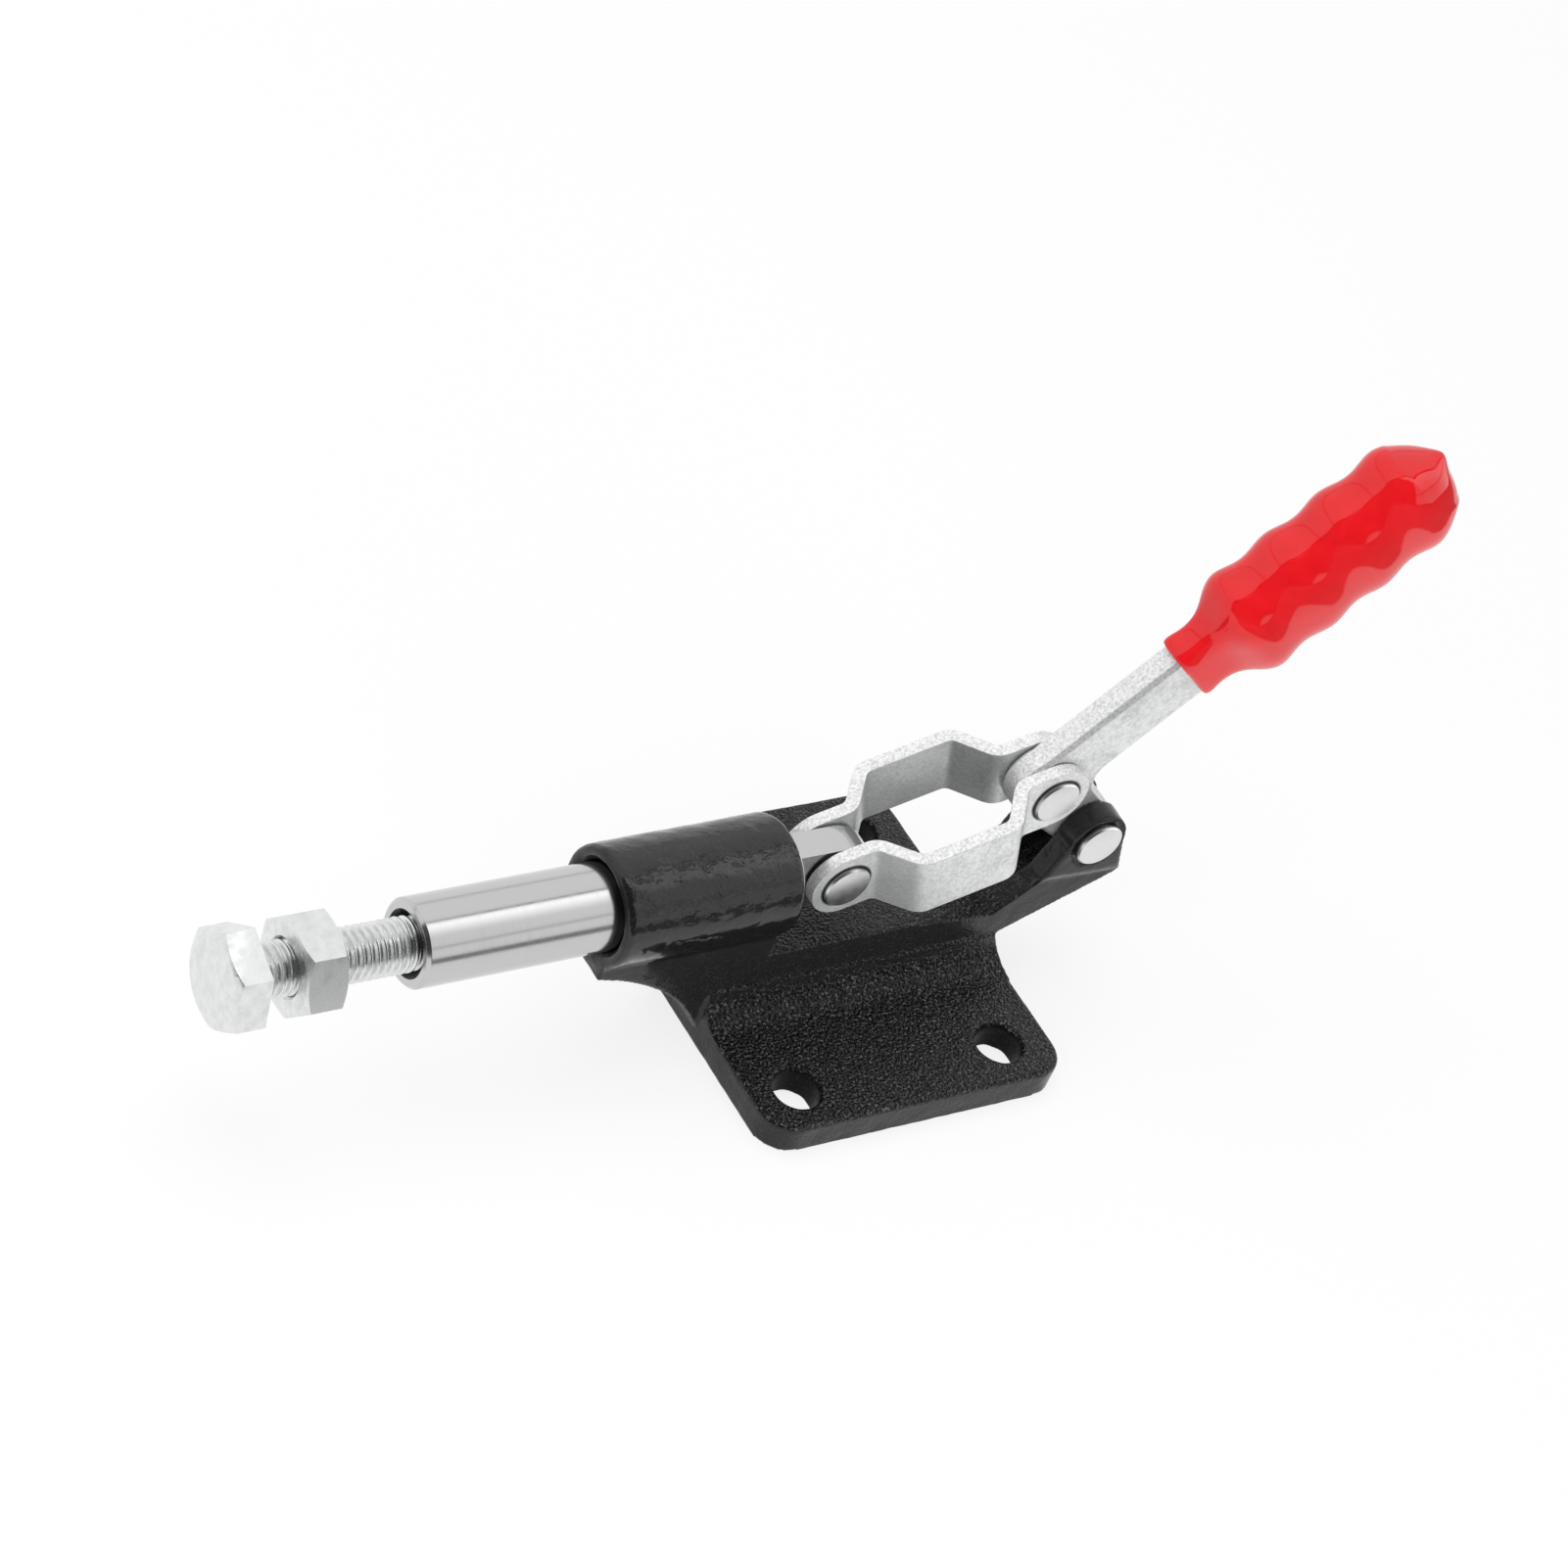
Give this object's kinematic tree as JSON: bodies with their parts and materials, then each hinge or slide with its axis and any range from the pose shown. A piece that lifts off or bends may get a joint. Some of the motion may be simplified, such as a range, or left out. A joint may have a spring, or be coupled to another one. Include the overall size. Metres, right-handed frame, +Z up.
{
  "type": "toggle clamp",
  "caption": "Push-pull toggle clamp: flanged cast base with barrel, sliding plunger, hexagon spindle bolt with lock nut, joggled links and a flat lever with a dipped grip.",
  "frame": {"origin": "Centre of the four base bolt holes, on the underside of the flange.", "axes": "+Z up, away from the mounting face; +X along the plunger from the spindle head towards the handle; the plunger pushes along -X."},
  "size_m": [0.234, 0.073, 0.117],
  "materials": {
    "black_paint": "satin",
    "zinc": "satin",
    "ground_steel": "gloss",
    "rivet_steel": "satin",
    "red_vinyl": "gloss"
  },
  "bodies": {
    "base": {"base_casting": "black_paint", "pivot_pin": "rivet_steel"},
    "handle": {"handle_lever": "zinc", "handle_grip": "red_vinyl"},
    "links": {"link_near": "zinc", "link_far": "zinc", "plunger_pin": "rivet_steel", "link_pin": "rivet_steel"},
    "plunger": {"plunger": "ground_steel"},
    "spindle": {"spindle_bolt": "zinc"},
    "lock_nut": {"lock_nut": "zinc"}
  },
  "joints": [
    {"name": "handle_hinge", "type": "hinge", "parent": "base", "child": "handle", "pos_m": [0.0462, 0, 0.0335], "axis": [0, 1, 0], "range_deg": [-43.5, 40]},
    {"name": "link_hinge", "type": "hinge", "parent": "handle", "child": "links", "pos_m": [0.0328, 0, 0.04552], "axis": [0, 1, 0], "range_deg": [-52.5, 57]},
    {"name": "plunger_slide", "type": "slide", "parent": "base", "child": "plunger", "axis": [1, 0, 0], "range_m": [-0.0108, 0.0099]},
    {"name": "spindle_screw", "type": "slide", "parent": "plunger", "child": "spindle", "axis": [-1, 0, 0], "range_m": [-0.009, 0.015]},
    {"name": "nut_screw", "type": "slide", "parent": "spindle", "child": "lock_nut", "axis": [1, 0, 0], "range_m": [-0.0065, 0.006]}
  ],
  "couplings": [
    {"joint": "link_hinge", "follows": "handle_hinge", "ratio": -1.2986},
    {"joint": "plunger_slide", "follows": "handle_hinge", "m_per_rad": 0.014053}
  ]
}
